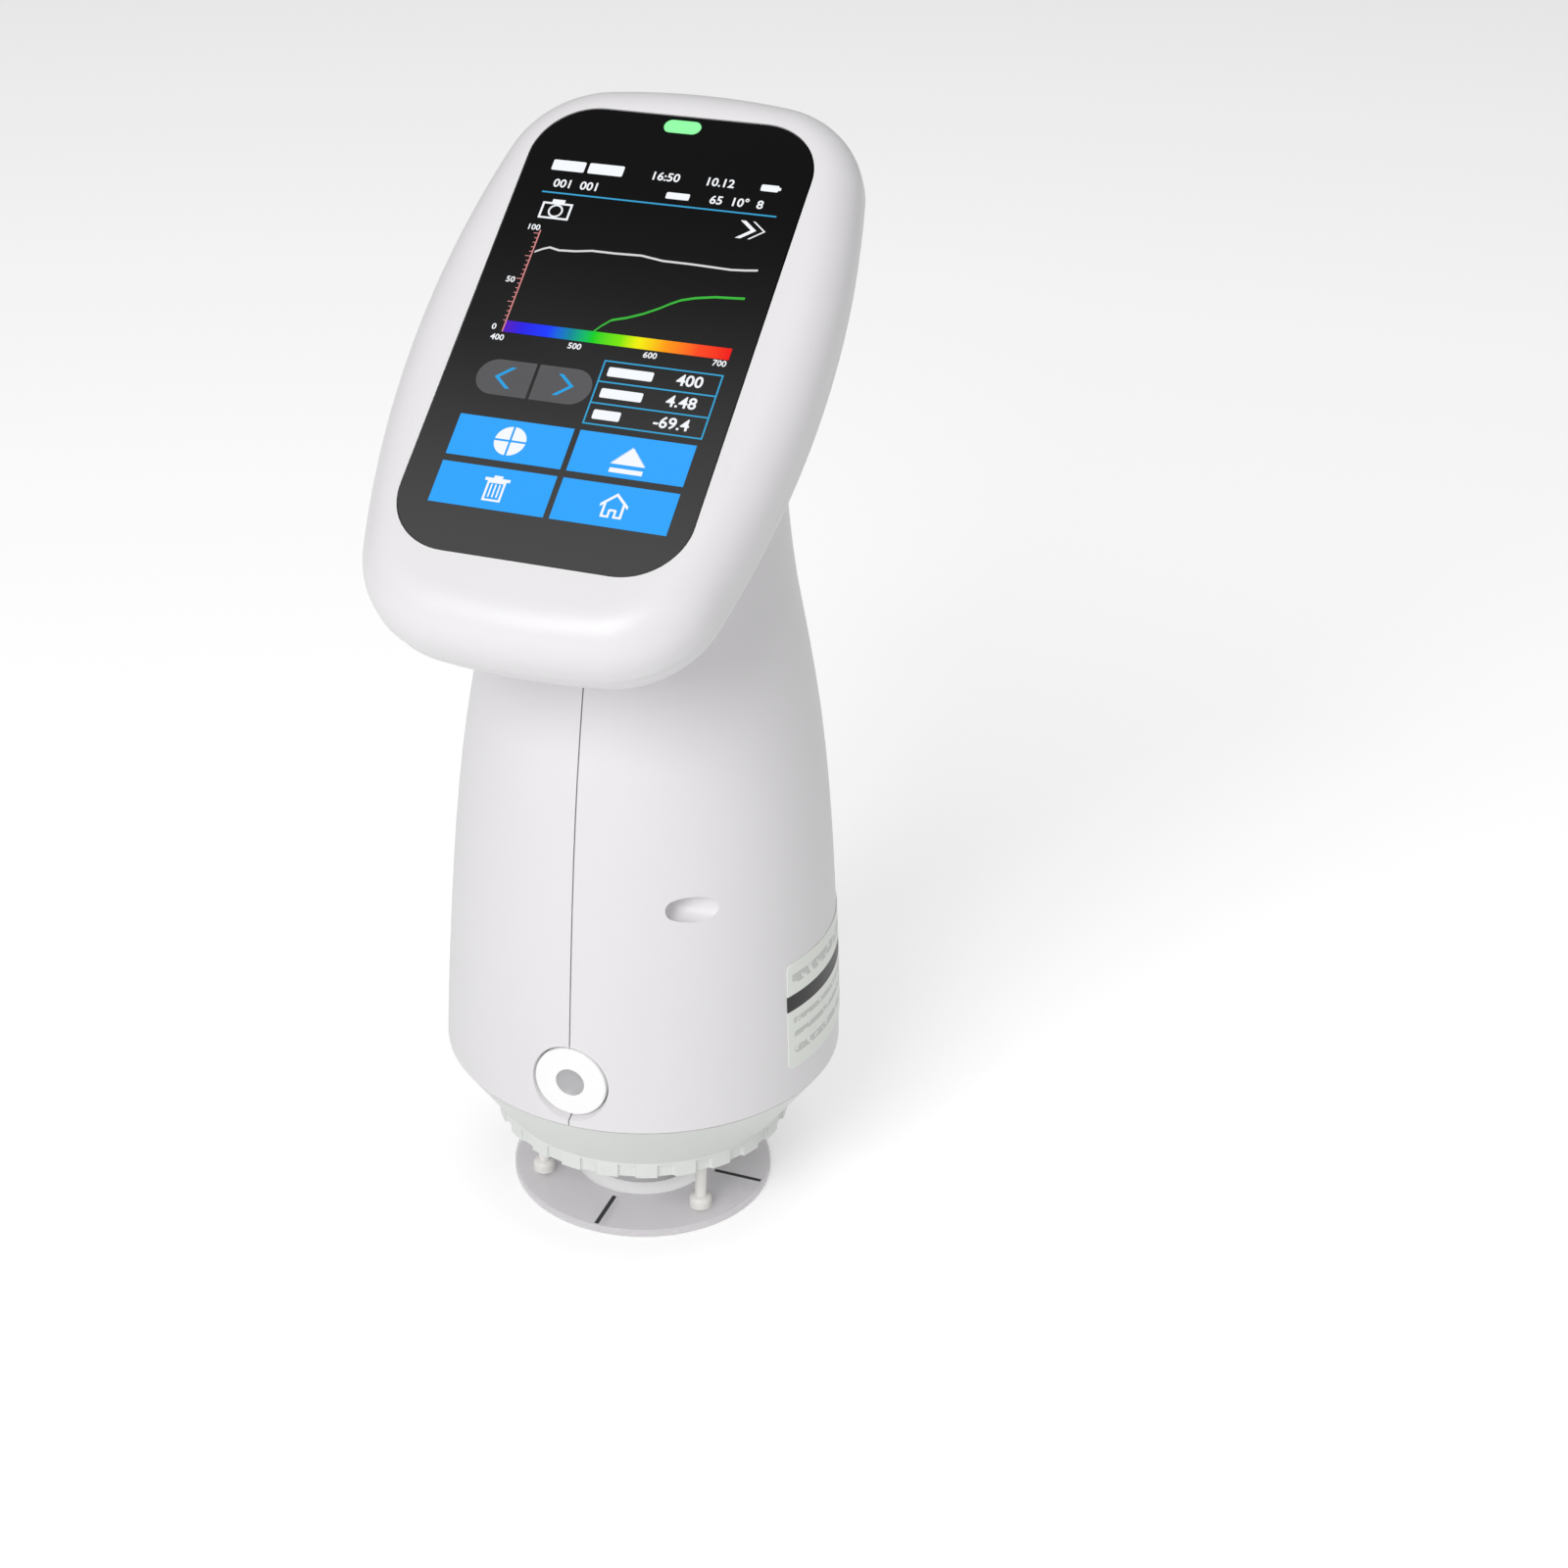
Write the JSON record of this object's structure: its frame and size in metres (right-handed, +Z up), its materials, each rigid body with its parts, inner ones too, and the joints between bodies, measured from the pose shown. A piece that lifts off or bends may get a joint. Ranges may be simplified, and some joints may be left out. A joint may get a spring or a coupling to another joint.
{
  "type": "portable colorimeter",
  "caption": "White hand-held colour meter: tapered round body, tilted screen head with dark glass, round front key, and a twist collar carrying a clear sprung locating plate.",
  "frame": {"origin": "centre of the locating plate's underside, on the axis of the round body", "axes": "+Z up along the body's axis, -Y towards the front where the key and the screen are, +X to the right seen from behind the key looking at the front"},
  "size_m": [0.0794, 0.1046, 0.2167],
  "materials": {
    "body_white": "fine texture",
    "bezel_white": "satin",
    "collar_grey": "satin",
    "key_white": "gloss",
    "insert_grey": "satin",
    "frame_black": "matt",
    "clear_plate": "clear, tinted",
    "pin_white": "satin",
    "nose_grey": "satin",
    "glass_black": "polished, printed behind",
    "gasket_black": "matt",
    "lens_green": "lit light guide",
    "steel": "plain",
    "spring_steel": "bright wire",
    "sphere_white": "diffuse white coating",
    "optic_glass": "polished",
    "board_green": "solder resist",
    "chip_black": "moulded",
    "lamp_white": "light source bodies",
    "sensor_case": "anodised",
    "spine_alloy": "plain",
    "battery_wrap": "shrink wrap",
    "socket_steel": "plain",
    "label_film": "blank with a dark band",
    "display_black": "display module",
    "tray_steel": "plain sheet"
  },
  "bodies": {
    "housing": {"base_frame": "frame_black", "aperture_nose": "nose_grey", "nose_screws": "steel", "aperture_window": "optic_glass", "sphere_lower": "sphere_white", "sphere_upper": "sphere_white", "source_board": "board_green", "source_lamps": "lamp_white", "lens_barrel": "sensor_case", "sensing_lens": "optic_glass", "spectral_sensor": "sensor_case", "sensor_board": "board_green", "camera_module": "chip_black", "spine": "spine_alloy", "battery_pack": "battery_wrap", "port_board": "board_green", "charging_socket": "socket_steel", "left_shell": "body_white", "right_shell": "body_white", "shell_screws": "steel", "rating_label": "label_film", "key_switch": "chip_black", "key_board": "board_green", "rear_cover": "body_white", "head_screws": "steel", "front_bezel": "bezel_white", "cover_glass": "glass_black", "glass_gasket": "gasket_black", "indicator_lens": "lens_green", "display_panel": "display_black", "display_tray": "tray_steel", "main_board": "board_green", "board_parts": "chip_black", "buzzer": "chip_black"},
    "collar": {"twist_collar": "collar_grey", "retainer_ring": "frame_black", "retainer_screws": "steel", "plate_springs": "spring_steel"},
    "plate": {"locating_plate": "clear_plate", "guide_pins": "pin_white"},
    "key": {"measure_key": "key_white", "key_insert": "insert_grey"}
  },
  "joints": [
    {"name": "collar_twist", "type": "hinge", "parent": "housing", "child": "collar", "pos_m": [0, 0, 0], "axis": [0, 0, 1], "range_deg": [-30, 0]},
    {"name": "plate_slide", "type": "slide", "parent": "collar", "child": "plate", "axis": [0, 0, 1], "range_m": [0, 0.003], "stiffness_N_per_m": 1000, "springref_m": -0.008, "deforming": ["plate_springs"]},
    {"name": "key_press", "type": "slide", "parent": "housing", "child": "key", "axis": [0, 1, 0], "range_m": [0, 0.0008], "stiffness_N_per_m": 1500, "springref_m": -0.001}
  ]
}
